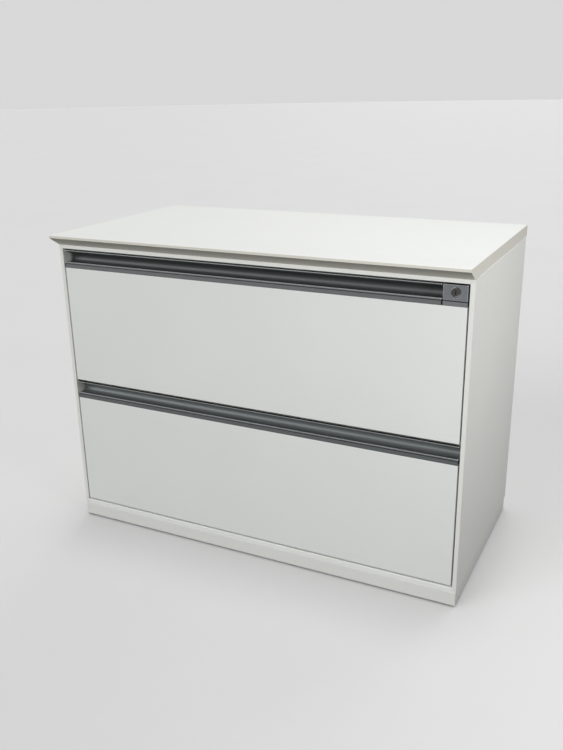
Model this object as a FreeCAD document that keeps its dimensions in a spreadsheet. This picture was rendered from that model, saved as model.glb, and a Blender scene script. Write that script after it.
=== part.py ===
"""Two-drawer lateral filing cabinet of folded sheet steel with a bevelled worktop.

Millimetres. The origin is at the middle of the footprint on the floor: X runs along the front to the
right, Y runs from the front to the back and Z points up.
"""
import FreeCAD, Part
import math
import os
import re
import Sketcher

# Driving sizes: name, millimetres (or degrees, or a count), what it measures
SIZES = [
    ("cabinet_width", 900, "body, side to side"),
    ("cabinet_height", 677, "floor to the worktop's upper face"),
    ("worktop_thickness", 24, "worktop board"),
    ("worktop_overhang", 29, "front lip ahead of the drawer fronts"),
    ("worktop_back_overhang", 9, "back edge behind the body"),
    ("worktop_lip", 5.5, "upright front edge above the bevel"),
    ("worktop_inset", 1.2, "worktop's ends set in from the side panels"),
    ("worktop_edge_round", 0.8, "rounding of the worktop's edges"),
    ("body_depth", 442, "drawer fronts to the back of the side panels"),
    ("floor_gap", 3, "air under the base, held open by the feet"),
    ("base_height", 29, "base rails"),
    ("base_inset", 1.5, "base set in from the side panels"),
    ("base_back_inset", 4, "base set in from the back"),
    ("base_sheet", 1.5, "sheet of the base rails"),
    ("base_upper_flange", 20, "upper fold of a base rail"),
    ("base_lower_flange", 12, "lower fold of a base rail"),
    ("skin", 1, "sheet of the body and of the drawers"),
    ("stile_width", 9, "front fold of a side panel"),
    ("stile_return", 30, "depth of the fold behind the stile"),
    ("back_flange", 12, "back fold of a side panel"),
    ("fold_round", 2, "outer radius of the folded front edges"),
    ("top_rail_height", 8, "front fold of the top panel"),
    ("bottom_rail_height", 11, "front fold of the bottom panel"),
    ("rail_return", 10, "fold behind the top and bottom rails"),
    ("top_gap", 2.5, "air above the upper drawer"),
    ("middle_gap", 4.25, "air between the drawers"),
    ("bottom_gap", 3.75, "air under the lower drawer"),
    ("side_gap", 3, "air beside the drawers"),
    ("front_thickness", 26, "drawer front pan, face to inner front"),
    ("front_round", 1.2, "rounding of the drawer front's edges"),
    ("inner_front_inset", 2, "inner front set in from the drawer front's sides"),
    ("handle_height", 39, "handle profile, bottom to top"),
    ("handle_band", 12.8, "front band of the handle, with the groove and ridge along its top"),
    ("band_groove", 1.8, "height of the groove in the band"),
    ("band_groove_depth", 1.2, "depth of the groove in the band"),
    ("band_ridge", 2.8, "ridge above the groove"),
    ("ridge_round", 0.7, "rounding of the ridge"),
    ("handle_wall", 1.6, "wall of the handle profile"),
    ("handle_depth", 23.8, "depth of the finger channel"),
    ("handle_lip", 2.1, "height of the upper lip of the handle"),
    ("handle_lip_depth", 3.2, "depth of the upper lip of the handle"),
    ("channel_floor", 7.5, "foot of the channel's upright back, before its bend"),
    ("channel_wall", 26, "top of the channel's upright back, before its bend"),
    ("handle_end_gap", 0.5, "handle set in from the drawer front's end"),
    ("handle_round", 0.6, "rounding of the handle's front edges"),
    ("handle_bend", 9.5, "inner radius of the channel's bends"),
    ("tub_rise", 8, "tub floor above the foot of the drawer front"),
    ("tub_drop", 59.75, "tub's upper edge below the top of the drawer front"),
    ("tub_depth", 390, "inner front to tub back"),
    ("tub_hem", 10, "inward hem on top of the tub walls"),
    ("tub_foot", 12, "inward fold under the tub floor"),
    ("rail_leg", 15, "hanging rail's leg on the tub wall"),
    ("rail_arm", 6, "hanging rail's step away from the wall"),
    ("rail_lip", 8, "hanging rail's upstanding lip"),
    ("rail_wall", 1.8, "wall of a hanging rail"),
    ("rail_drop", 6, "hanging rail's lip below the tub's upper edge"),
    ("carrier_depth", 11.3, "slide carrier, side panel to slide"),
    ("carrier_sheet", 1.2, "sheet of the slide carrier"),
    ("carrier_start", 46, "slide carrier behind the drawer fronts"),
    ("carrier_end", 16, "slide carrier ahead of the body's back"),
    ("carrier_rise", 14, "slide carrier above the floor panel"),
    ("carrier_slot_width", 6, "slots in the slide carrier"),
    ("carrier_slot_height", 16, "slots in the slide carrier"),
    ("carrier_slot_inset", 30, "slot rows from the carrier's edges"),
    ("carrier_slot_rows", 8, "slots in a row"),
    ("slide_length", 400, "slide members"),
    ("slide_start", 31, "slides behind the drawer fronts"),
    ("slide_rise", 72, "slide's middle above the foot of the drawer front"),
    ("slide_height", 45, "outer slide member"),
    ("slide_thickness", 12.7, "closed slide, carrier to tub"),
    ("slide_sheet", 1.2, "sheet of the slide members"),
    ("slide_gap", 0.3, "running gap beside the slide webs and cages"),
    ("outer_flange", 10.4, "outer member, web to lip"),
    ("middle_flange", 8.4, "middle member, web to lip"),
    ("inner_flange", 7.1, "inner member, web to lip"),
    ("race_depth", 0.4, "depth of a ball race"),
    ("ball_radius", 2, "slide balls"),
    ("ball_play", 0.06, "ball to race"),
    ("race_play", 0.1, "race radius over the ball's"),
    ("ball_count", 3, "balls in a row"),
    ("ball_bands", 4, "facets of a ball from pole to pole"),
    ("ball_meridians", 8, "facets of a ball round its waist"),
    ("cage_sheet", 1, "sheet of a ball cage"),
    ("cage_length", 180, "ball cages"),
    ("cage_start", 110, "ball cages behind the slide's front end"),
    ("cage_margin", 12, "first and last ball from the cage's ends"),
    ("cage_hole_play", 0.25, "ball to cage"),
    ("cage_lip", 1.4, "cage beyond the balls' middles"),
    ("screw_hole", 2.3, "radius of the slides' fixing holes"),
    ("screw_margin", 35, "fixing holes from the slide's ends"),
    ("screw_count", 4, "fixing holes in a slide member"),
    ("lock_block_width", 44, "lock housing block"),
    ("lock_block_gap", 2.5, "air between handle and lock block"),
    ("lock_round", 0.8, "rounding of the lock block's front edges"),
    ("lock_groove_depth", 2, "groove across the lock block"),
    ("lock_axis_side", 21.3, "plug's axis from the drawer front's end"),
    ("lock_axis_rise", 25, "plug's axis above the handle's foot"),
    ("lock_barrel_radius", 9.3, "lock cylinder"),
    ("lock_barrel_proud", 0.8, "lock cylinder ahead of the block"),
    ("plug_radius", 6.6, "plug"),
    ("plug_play", 0.05, "plug and pins to their holes"),
    ("plug_proud", 0.5, "plug ahead of the block"),
    ("keyway_width", 1.6, "keyway"),
    ("keyway_height", 8.4, "keyway"),
    ("keyway_depth", 9, "keyway"),
    ("tail_radius", 3, "plug's tail through the inner front"),
    ("tail_play", 0.4, "tail to the inner front's hole"),
    ("cam_gap", 0.5, "cam behind the inner front"),
    ("cam_sheet", 2, "cam plate"),
    ("cam_boss_radius", 6, "cam's round end on the tail"),
    ("cam_tip_radius", 3.5, "cam's round end at the crank pin"),
    ("crank_radius", 8, "crank pin from the plug's axis"),
    ("crank_pin_radius", 2, "crank pin"),
    ("crank_pin_length", 6.5, "crank pin behind the cam"),
    ("crank_play", 0.5, "crank pin to the bar's slot, above and below"),
    ("bar_sheet", 2, "gang lock bar"),
    ("bar_width", 11, "gang lock bar, front to back"),
    ("bar_start", 32, "gang lock bar behind the drawer fronts"),
    ("bar_side", 3.5, "gang lock bar from the side panel's outside"),
    ("bar_foot", 35, "gang lock bar above the floor panel"),
    ("bar_head", 14, "gang lock bar below the worktop"),
    ("bar_arm_margin", 5, "bar's arm round its slot"),
    ("bar_arm_start", 2.5, "bar's arm behind the cam"),
    ("hook_height", 12, "bar's hooks"),
    ("hook_reach", 15.5, "hooks, bar to tip"),
    ("hook_drop", 3.5, "unlocked hook below the tub's tab"),
    ("tab_drop", 58, "foot of the tub's lock tab below the tub's upper edge"),
    ("tab_height", 8, "tub's lock tab"),
    ("tab_depth", 6, "tub's lock tab, front to back"),
    ("tab_reach", 9, "tub's lock tab, side to tip"),
    ("tab_behind_bar", 2, "tab behind the hook"),
    ("guide_height", 18, "lock bar guides"),
    ("guide_wall", 1.2, "lock bar guides"),
    ("guide_play", 0.3, "lock bar to guide"),
    ("guide_low", 60, "lower guide above the floor panel"),
    ("guide_high", 100, "upper guide below the worktop"),
    ("foot_radius", 15, "levelling foot's pad, middle to corner"),
    ("foot_sides", 6, "flat sides of a foot's pad, where a spanner turns it"),
    ("foot_pad", 7, "levelling foot's pad, height"),
    ("foot_stud_radius", 4, "levelling foot's stud"),
    ("foot_stud", 31, "floor to the stud's top"),
    ("foot_inset", 34, "foot from the base's outer faces"),
    ("foot_plate", 3, "corner plate that holds a foot"),
    ("foot_plate_side", 62, "corner plate"),
    ("foot_plate_rise", 14, "corner plate above the base's lower edge"),
    ("foot_play", 0.05, "stud to corner plate"),
    ("weight_clearance", 6.5, "counterweight from the foot plates beside it"),
    ("weight_depth", 120, "counterweight"),
    ("weight_height", 25, "counterweight"),
    ("weight_back", 40, "counterweight ahead of the body's back"),
    ("overrun", 2, "how far a cutting shape passes the face it cuts"),
]

# Places worked out from the driving sizes
PLACES = {
    "worktop_depth": "worktop_overhang + body_depth + worktop_back_overhang",
    "body_front": "worktop_overhang - worktop_depth/2",
    "body_back": "body_front + body_depth",
    "body_side": "cabinet_width/2",
    "worktop_under": "cabinet_height - worktop_thickness",
    "body_bottom": "floor_gap + base_height",
    "opening_side": "body_side - stile_width",
    "opening_top": "worktop_under - top_rail_height",
    "opening_bottom": "body_bottom + bottom_rail_height",
    "front_side": "opening_side - side_gap",
    "unit_height": "(opening_top - opening_bottom - top_gap - middle_gap - bottom_gap)/2",
    "lower_foot": "opening_bottom + bottom_gap",
    "upper_foot": "lower_foot + unit_height + middle_gap",
    "pan_height": "unit_height - handle_height",
    "pan_back": "body_front + front_thickness",
    "tub_front": "pan_back + skin",
    "tub_height": "unit_height - tub_rise - tub_drop",
    "tab_rise": "tub_rise + tub_height - tab_drop",
    "tub_back": "tub_front + tub_depth",
    "slide_wall": "body_side - skin - carrier_depth",
    "tub_side": "slide_wall - slide_thickness",
    "slide_front": "body_front + slide_start",
    "screw_span": "slide_length - 2*screw_margin - 2*screw_hole",
    "base_side": "body_side - base_inset",
    "base_back": "body_back - base_back_inset",
    "base_top": "floor_gap + base_height",
    "carrier_front": "body_front + carrier_start",
    "carrier_back": "body_back - carrier_end",
    "carrier_foot": "opening_bottom + carrier_rise",
    "carrier_top": "opening_top - carrier_rise",
    "carrier_slot_span": "carrier_top - carrier_foot - 2*carrier_slot_inset - carrier_slot_height",
    "lock_block_left": "front_side - lock_block_width",
    "lock_foot": "upper_foot + pan_height",
    "lock_x": "front_side - lock_axis_side",
    "lock_z": "lock_foot + lock_axis_rise",
    "plug_back": "tub_front + cam_gap",
    "cam_back": "plug_back + cam_sheet",
    "crank_low": "lock_z - crank_radius*sin(45)",
    "bar_front": "body_front + bar_start",
    "bar_back": "bar_front + bar_width",
    "bar_outside": "body_side - bar_side",
    "bar_inside": "bar_outside - bar_sheet",
    "hook_tip": "bar_inside - hook_reach",
    "slot_half": "crank_pin_radius + crank_play",
    "slot_left": "lock_x - crank_radius - slot_half",
    "slot_right": "lock_x - crank_radius*cos(45) + slot_half",
}

document = FreeCAD.newDocument("LateralFilingCabinet")
sheet = document.addObject("Spreadsheet::Sheet", "Sizes")
for line, (alias, number, meaning) in enumerate(SIZES, start=1):
    sheet.set(f"A{line}", alias)
    sheet.set(f"B{line}", str(number))
    sheet.set(f"C{line}", meaning)
    sheet.setAlias(f"B{line}", alias)
document.recompute()

ALIASES = {alias for alias, number, meaning in SIZES}
NODES = []


def formula(text):
    """Write out the named places in a formula and point its sizes at the sheet."""
    def word(match):
        name = match.group(0)
        if name in PLACES:
            return "(" + formula(PLACES[name]) + ")"
        return "Sizes." + name if name in ALIASES else name
    return re.sub(r"[A-Za-z_]\w*", word, str(text))


def value(text):
    """The number that a formula gives now."""
    found = sheet.evalExpression(formula(text))
    return float(getattr(found, "Value", found))


def bind(item, **properties):
    """Tie an object's sizes to formulas."""
    for name, text in properties.items():
        item.setExpression(name.replace("__", "."), formula(text))


def place(item, x=0, y=0, z=0):
    """Tie an object's place to formulas."""
    bind(item, Placement__Base__x=x, Placement__Base__y=y, Placement__Base__z=z)


def node(item, name):
    """Give a finished sub-part its label and list it for writing."""
    item.Label = name
    NODES.append(item)
    return item


def span(low, high):
    """The length between two formulas."""
    return f"({high}) - ({low})"


def sorted_pair(side, near, far):
    """Low and high X of a pair of distances from the middle, on the left (-1) or the right (1)."""
    return (near, far) if side == "1" else (f"-({far})", f"-({near})")


def block(name, x, y, z):
    """A box between pairs of formulas."""
    box = document.addObject("Part::Box", name)
    bind(box, Length=span(*x), Width=span(*y), Height=span(*z))
    place(box, x[0], y[0], z[0])
    return box


def rod(name, radius, start, length, x, z):
    """A round rod along Y from the formula start."""
    bar = document.addObject("Part::Cylinder", name)
    bar.Placement.Rotation = FreeCAD.Rotation(FreeCAD.Vector(1, 0, 0), -90)
    bind(bar, Radius=radius, Height=length)
    place(bar, x, start, z)
    return bar


def post(name, radius, start, length, x, y):
    """A round post along Z from the formula start."""
    bar = document.addObject("Part::Cylinder", name)
    bind(bar, Radius=radius, Height=length)
    place(bar, x, y, start)
    return bar


def ball(name, radius, x, y, z):
    """A small ball in flat facets, its corners at the ball's radius and its poles up and down."""
    bands, meridians = int(value("ball_bands")), int(value("ball_meridians"))
    size = value(radius)

    def corner(band, meridian):
        tilt, turn = math.pi * band / bands, 2 * math.pi * meridian / meridians
        return FreeCAD.Vector(math.sin(tilt) * math.cos(turn), math.sin(tilt) * math.sin(turn),
                              math.cos(tilt)) * size

    faces = []
    for band in range(bands):
        for meridian in range(meridians):
            ring = [corner(band, meridian), corner(band + 1, meridian),
                    corner(band + 1, meridian + 1), corner(band, meridian + 1)]
            if band == 0:
                del ring[3]
            elif band == bands - 1:
                del ring[2]
            faces.append(Part.Face(Part.makePolygon(ring + ring[:1])))
    item = document.addObject("Part::Feature", name)
    item.Shape = Part.Solid(Part.Shell(faces))
    place(item, x, y, z)
    return item


def cut(name, base, *tools):
    """The base less the tools."""
    tool = tools[0] if len(tools) == 1 else join(name + "_tools", *tools)
    item = document.addObject("Part::Cut", name)
    item.Base = base
    item.Tool = tool
    return item


def join(name, *pieces):
    """One solid from pieces that meet."""
    item = document.addObject("Part::MultiFuse", name)
    item.Shapes = list(pieces)
    item.Refine = True
    return item


def group(name, *pieces):
    """Separate solids kept in one sub-part."""
    item = document.addObject("Part::Compound", name)
    item.Links = list(pieces)
    return item


def arc_between(start, end, radius, turn):
    """The arc from start to end; turn is 1 against the clock and -1 with it."""
    chord = end - start
    middle = (start + end) / 2
    rise = math.sqrt(max(radius ** 2 - (chord.Length / 2) ** 2, 0))
    across = FreeCAD.Vector(-chord.y, chord.x, 0).normalize() * turn
    centre = middle + across * rise
    first, last = (start, end) if turn > 0 else (end, start)
    angles = [math.atan2(p.y - centre.y, p.x - centre.x) for p in (first, last)]
    circle = Part.Circle(centre, FreeCAD.Vector(0, 0, 1), radius)
    return Part.ArcOfCircle(circle, angles[0], angles[1])


def outline_sketch(body, plane, outline, offset):
    """A closed outline on one of the body's own origin planes, each corner tied to formulas.

    A corner is (across, up) or, where an arc leads to it, (across, up, radius, turn).
    """
    sketch = body.newObject("Sketcher::SketchObject", body.Name + "_outline")
    support = [item for item in body.Origin.OriginFeatures if item.Role == plane][0]
    sketch.AttachmentSupport = [(support, "")]
    sketch.MapMode = "FlatFace"
    bind(sketch, AttachmentOffset__Base__z=offset)
    points = [FreeCAD.Vector(value(corner[0]), value(corner[1]), 0) for corner in outline]
    count = len(points)
    starts, ends, edges, rounds = [], [], [], []
    for index in range(count):
        following = (index + 1) % count
        bend = outline[following][2:]
        if bend:
            edges.append(arc_between(points[index], points[following], value(bend[0]), bend[1]))
            rounds.append((index, bend[0]))
        else:
            edges.append(Part.LineSegment(points[index], points[following]))
        backwards = bool(bend) and bend[1] < 0
        starts.append(2 if backwards else 1)
        ends.append(1 if backwards else 2)
    sketch.addGeometry(edges, False)
    rules = []
    for index in range(count):
        following = (index + 1) % count
        rules.append(Sketcher.Constraint("Coincident", index, ends[index], following, starts[following]))
    for index, point in enumerate(points):
        rules.append(Sketcher.Constraint("DistanceX", -1, 1, index, starts[index], point.x))
        rules.append(Sketcher.Constraint("DistanceY", -1, 1, index, starts[index], point.y))
    for index, radius in rounds:
        rules.append(Sketcher.Constraint("Radius", index, value(radius)))
    sketch.addConstraint(rules)
    for index, corner in enumerate(outline):
        sketch.setExpression(f"Constraints[{count + 2 * index}]", formula(corner[0]))
        sketch.setExpression(f"Constraints[{count + 2 * index + 1}]", formula(corner[1]))
    for place_in_list, (index, radius) in enumerate(rounds):
        sketch.setExpression(f"Constraints[{3 * count + place_in_list}]", formula(radius))
    return sketch, points


# For each sketch plane: the model axes that its across, up and outward directions follow
PLANES = {"YZ_Plane": "yzx", "XY_Plane": "xyz", "XZ_Plane": "xzy"}


def round_edges(body, radius, chosen):
    """Round the edges of a body that the test chosen picks."""
    tip = body.Tip
    found = [f"Edge{number}" for number, edge in enumerate(tip.Shape.Edges, start=1) if chosen(edge)]
    if not found:
        raise RuntimeError("no edge to round in " + body.Name)
    fillet = body.newObject("PartDesign::Fillet", body.Name + "_round")
    fillet.Base = (tip, found)
    bind(fillet, Radius=radius)
    document.recompute()


def round_front(body, face, radius):
    """Round all the edges of a body that lie in its front face."""
    place_y, near = value(face), value(radius) / 100
    round_edges(body, radius, lambda edge: all(abs(end.Y - place_y) < near for end in edge.Vertexes))


def profile(name, plane, outline, start, end, rounds=()):
    """A sheet or bar of one section, drawn on a plane and run from start to end along its normal.

    rounds holds (radius formula, corner numbers) for the long edges to be rounded.
    """
    body = document.addObject("PartDesign::Body", name)
    offset = f"-({end})" if plane == "XZ_Plane" else start
    sketch, points = outline_sketch(body, plane, outline, offset)
    pad = body.newObject("PartDesign::Pad", name + "_length")
    pad.Profile = sketch
    bind(pad, Length=span(start, end))
    document.recompute()
    across, up, along = PLANES[plane]
    for radius, corners in rounds:
        wanted = [points[corner] for corner in corners]
        near = value(radius) / 100

        def chosen(edge):
            middle = edge.valueAt((edge.FirstParameter + edge.LastParameter) / 2)
            direction = edge.tangentAt(edge.FirstParameter)
            beside = [math.hypot(getattr(middle, across) - point.x, getattr(middle, up) - point.y)
                      for point in wanted]
            return abs(getattr(direction, along)) > math.cos(math.radians(1)) and min(beside) < near

        round_edges(body, radius, chosen)
    return body


def slot_pattern(body, x, y, z, columns=(), rows=()):
    """Cut one box from a body and repeat it along Y (columns) or Z (rows), given as (pitch, count)."""
    before = body.Shape.Volume
    slot = body.newObject("PartDesign::SubtractiveBox", body.Name + "_slot")
    bind(slot, Length=span(*x), Width=span(*y), Height=span(*z))
    place(slot, x[0], y[0], z[0])
    document.recompute()
    if slot.Shape.Volume >= before:
        raise RuntimeError("the slot misses " + body.Label)
    for role, repeat in (("Y_Axis", columns), ("Z_Axis", rows)):
        if repeat:
            axis = [item for item in body.Origin.OriginFeatures if item.Role == role][0]
            pattern = body.newObject("PartDesign::LinearPattern", body.Name + "_slots_" + role[0])
            pattern.Originals = [slot]
            pattern.Direction = (axis, [""])
            bind(pattern, Length=f"({repeat[0]})*(({repeat[1]}) - 1)", Occurrences=repeat[1])
            body.Tip = pattern
            document.recompute()
            if pattern.Shape.Volume >= slot.Shape.Volume:
                raise RuntimeError("the slots are not repeated in " + body.Label)
    return body


def worktop():
    """A board whose underside rises to a thin front lip."""
    front, back = "-worktop_depth/2", "worktop_depth/2"
    outline = [(front, "cabinet_height"), (front, "cabinet_height - worktop_lip"),
               ("body_front", "worktop_under"), (back, "worktop_under"), (back, "cabinet_height")]
    board = profile("worktop_board", "YZ_Plane", outline, "worktop_inset - body_side",
                    "body_side - worktop_inset", [("worktop_edge_round", (0, 1, 4))])
    node(board, "worktop_board")


def shell():
    """Side, top, bottom and back panels of the body."""
    for side, label in (("-1", "left"), ("1", "right")):
        outline = [(f"{side}*body_side", "body_front"), (f"{side}*body_side", "body_back"),
                   (f"{side}*(body_side - back_flange)", "body_back"),
                   (f"{side}*(body_side - back_flange)", "body_back - skin"),
                   (f"{side}*(body_side - skin)", "body_back - skin"),
                   (f"{side}*(body_side - skin)", "body_front + skin"),
                   (f"{side}*(opening_side + skin)", "body_front + skin"),
                   (f"{side}*(opening_side + skin)", "body_front + stile_return"),
                   (f"{side}*opening_side", "body_front + stile_return"),
                   (f"{side}*opening_side", "body_front")]
        panel = profile(label + "_side_panel", "XY_Plane", outline, "body_bottom", "worktop_under",
                        [("fold_round", (0, 1)), ("fold_round - skin", (4, 5)), ("skin", (9,))])
        node(panel, label + "_side_panel")
    back = "body_back - 2*skin"
    for label, deck, edge in (("top", "worktop_under", "opening_top"),
                              ("bottom", "opening_bottom", "body_bottom")):
        # The deck's sheet lies under its upper face, and its front is folded over the rail's height
        if label == "top":
            outline = [("body_front", deck), ("body_front", edge), ("body_front + rail_return", edge),
                       ("body_front + rail_return", f"{edge} + skin"),
                       ("body_front + skin", f"{edge} + skin"), ("body_front + skin", f"{deck} - skin"),
                       (back, f"{deck} - skin"), (back, deck)]
            rounds = [("skin", (1,))]
        else:
            outline = [("body_front", deck), ("body_front", edge), ("body_front + rail_return", edge),
                       ("body_front + rail_return", f"{edge} + skin"),
                       ("body_front + skin", f"{edge} + skin"), ("body_front + skin", f"{deck} - skin"),
                       (f"{back} - skin", f"{deck} - skin"), (f"{back} - skin", edge), (back, edge),
                       (back, deck)]
            rounds = [("fold_round", (0,)), ("skin/2", (1,))]
        folded = profile(label + "_folded", "YZ_Plane", outline, "-opening_side", "opening_side", rounds)
        wings = [block(f"{label}_wing_{side}", sorted_pair(side, "opening_side", "body_side - skin"),
                       ("body_front + stile_return", back), (f"{deck} - skin", deck))
                 for side in ("-1", "1")]
        node(join(label + "_panel", folded, *wings), f"{label}_panel")
    node(block("back_panel", ("fold_round - body_side", "body_side - fold_round"),
               (back, "body_back - skin"), ("body_bottom", "worktop_under - skin")), "back_panel")


def base():
    """Four folded rails, with a drilled plate in each corner that holds a foot."""
    low, high = "floor_gap", "base_top"
    plates = []
    for label, face, inward in (("front", "body_front", "1"), ("rear", "base_back", "-1")):
        outline = [(face, high), (face, low), (f"{face} + {inward}*base_lower_flange", low),
                   (f"{face} + {inward}*base_lower_flange", f"{low} + base_sheet"),
                   (f"{face} + {inward}*base_sheet", f"{low} + base_sheet"),
                   (f"{face} + {inward}*base_sheet", f"{high} - base_sheet"),
                   (f"{face} + {inward}*base_upper_flange", f"{high} - base_sheet"),
                   (f"{face} + {inward}*base_upper_flange", high)]
        rail = profile(f"base_{label}_rail", "YZ_Plane", outline, "base_sheet - base_side",
                       "base_side - base_sheet", [("base_sheet", (0, 1))])
        node(rail, f"base_{label}_rail")
    for side, label in (("-1", "left"), ("1", "right")):
        outline = [(f"{side}*base_side", high), (f"{side}*base_side", low),
                   (f"{side}*(base_side - base_lower_flange)", low),
                   (f"{side}*(base_side - base_lower_flange)", f"{low} + base_sheet"),
                   (f"{side}*(base_side - base_sheet)", f"{low} + base_sheet"),
                   (f"{side}*(base_side - base_sheet)", f"{high} - base_sheet"),
                   (f"{side}*(base_side - base_upper_flange)", f"{high} - base_sheet"),
                   (f"{side}*(base_side - base_upper_flange)", high)]
        rail = profile(f"base_{label}_channel", "XZ_Plane", outline, "body_front + base_upper_flange",
                       "base_back - base_upper_flange", [("base_sheet", (0, 1))])
        # The side rail's web runs on to the corners and closes the ends of the front and rear rails
        web = block(f"{label}_web", sorted_pair(side, "base_side - base_sheet", "base_side"),
                    ("body_front", "base_back"), (low, high))
        node(join(f"{label}_rail", rail, web), f"base_{label}_rail")
        plate_x = sorted_pair(side, "base_side - foot_plate_side", "base_side - base_sheet")
        plate_z = (f"{low} + foot_plate_rise", f"{low} + foot_plate_rise + foot_plate")
        for end, plate_y in (("front", ("body_front + base_sheet", "body_front + foot_plate_side")),
                             ("back", ("base_back - foot_plate_side", "base_back - base_sheet"))):
            drill = post(f"{label}_{end}_drill", "foot_stud_radius + foot_play", f"{plate_z[0]} - overrun",
                         "foot_plate + 2*overrun", f"{side}*(base_side - foot_inset)", foot_y(end))
            blank = block(f"{label}_{end}_blank", plate_x, plate_y, plate_z)
            plates.append(cut(f"{label}_{end}_plate", blank, drill))
    node(group("plates", *plates), "foot_plates")


def foot_y(end):
    """Where a foot stands, front or back."""
    return "body_front + foot_inset" if end == "front" else "base_back - foot_inset"


def feet():
    """Levelling feet: a hexagonal pad with a stud that screws through the corner plate."""
    for side, label in (("-1", "left"), ("1", "right")):
        for end in ("front", "back"):
            name = f"{label}_{end}_foot"
            pad = document.addObject("Part::Prism", name + "_pad")
            bind(pad, Polygon="foot_sides", Circumradius="foot_radius", Height="foot_pad")
            stud = post(name + "_stud", "foot_stud_radius", "foot_pad", "foot_stud - foot_pad", "0", "0")
            foot = join(name + "_solid", pad, stud)
            place(foot, f"{side}*(base_side - foot_inset)", foot_y(end))
            node(foot, name)


def carriers():
    """Pressed plates on the side panels with two rows of slots for the slides' hooks."""
    for side, label in (("-1", "left"), ("1", "right")):
        outer, inner = "body_side - skin", "slide_wall"
        outline = [(f"{side}*{part}", place_y) for part, place_y in (
            (f"({outer})", "carrier_front"), (f"({outer})", "carrier_front + carrier_sheet"),
            (f"({inner} + carrier_sheet)", "carrier_front + carrier_sheet"),
            (f"({inner} + carrier_sheet)", "carrier_back - carrier_sheet"),
            (f"({outer})", "carrier_back - carrier_sheet"), (f"({outer})", "carrier_back"),
            (f"({inner})", "carrier_back"), (f"({inner})", "carrier_front"))]
        plate = profile(f"{label}_slide_carrier", "XY_Plane", outline, "carrier_foot", "carrier_top",
                        [("carrier_sheet", (6, 7))])
        slot_x = sorted_pair(side, f"{inner} - overrun", f"{inner} + carrier_sheet + overrun")
        lowest = "carrier_foot + carrier_slot_inset"
        for first in ("carrier_front + carrier_slot_inset",
                      "carrier_back - carrier_slot_inset - carrier_slot_width"):
            slot_pattern(plate, slot_x, (first, f"{first} + carrier_slot_width"),
                         (lowest, f"{lowest} + carrier_slot_height"),
                         rows=("carrier_slot_span/(carrier_slot_rows - 1)", "carrier_slot_rows"))
        node(plate, f"{label}_slide_carrier")


def counterweight():
    """A steel slab bolted up under the floor panel, near the back."""
    node(block("counterweight", ("weight_clearance + foot_plate_side - base_side",
                                 "base_side - foot_plate_side - weight_clearance"),
               ("body_back - weight_back - weight_depth", "body_back - weight_back"),
               ("opening_bottom - skin - weight_height", "opening_bottom - skin")), "counterweight")


def drawer(level):
    """One drawer: pan, inner front, handle, tub and hanging rails."""
    foot = f"{level}_foot"
    edge = "front_side"
    pan_top = f"{foot} + pan_height"
    # The front is a pan of one sheet, folded back on all four sides and open behind
    outer = profile(f"{level}_pan_block", "YZ_Plane",
                    [("body_front", foot), ("pan_back", foot), ("pan_back", pan_top),
                     ("body_front", pan_top)], f"-{edge}", edge)
    round_front(outer, "body_front", "front_round")
    hollow = block(f"{level}_pan_hollow", (f"skin - {edge}", f"{edge} - skin"),
                   ("body_front + skin", "pan_back + overrun"), (f"{foot} + skin", f"{pan_top} - skin"))
    node(cut(f"{level}_pan", outer, hollow), f"{level}_drawer_front")
    # The inner front closes the pan and the handle from behind
    inner = block(f"{level}_inner_sheet", (f"inner_front_inset - {edge}", f"{edge} - inner_front_inset"),
                  ("pan_back", "tub_front"),
                  (f"{foot} + inner_front_inset", f"{foot} + unit_height - inner_front_inset"))
    if level == "upper":
        inner = cut("upper_inner_drilled", inner,
                    rod("tail_hole", "tail_radius + tail_play", "pan_back - overrun",
                        "skin + 2*overrun", "lock_x", "lock_z"))
    node(inner, f"{level}_inner_front")
    handle(level, pan_top)
    tub(level, foot)


def handle(level, foot):
    """The extruded handle: a flat band, a finger channel behind it and a sloping back wall."""
    def at(depth, rise):
        return (f"body_front + {depth}", f"{foot} + {rise}")
    slope = "((handle_height - handle_lip - channel_wall)/(handle_depth - handle_lip_depth))"
    ridge_foot = "handle_band - band_ridge"
    groove_foot = f"{ridge_foot} - band_groove"
    outline = [at("0", "0"), at("0", groove_foot), at("band_groove_depth", groove_foot),
               at("band_groove_depth", ridge_foot), at("0", ridge_foot), at("0", "handle_band"),
               at("handle_wall", "handle_band"),
               at("handle_depth", "channel_floor"), at("handle_depth", "channel_wall"),
               at("handle_lip_depth", "handle_height - handle_lip"),
               at("0", "handle_height - handle_lip"), at("0", "handle_height"),
               at("handle_lip_depth + handle_wall", "handle_height"),
               at("handle_depth + handle_wall", f"channel_wall + handle_wall*{slope}"),
               at("handle_depth + handle_wall", "channel_floor - handle_wall"),
               at("handle_wall", "handle_band - handle_wall*2"), at("handle_wall", "handle_wall"),
               at("handle_depth", "handle_wall"), at("handle_depth", "0")]
    end = "front_side - handle_end_gap" if level == "lower" else "lock_block_left - lock_block_gap"
    body = profile(f"{level}_handle", "YZ_Plane", outline, "handle_end_gap - front_side", end,
                   [("handle_round", (0, 1, 10, 11)), ("ridge_round", (4, 5)),
                    ("handle_bend", (7, 8)), ("handle_bend + handle_wall", (13, 14))])
    node(body, f"{level}_handle")


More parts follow.
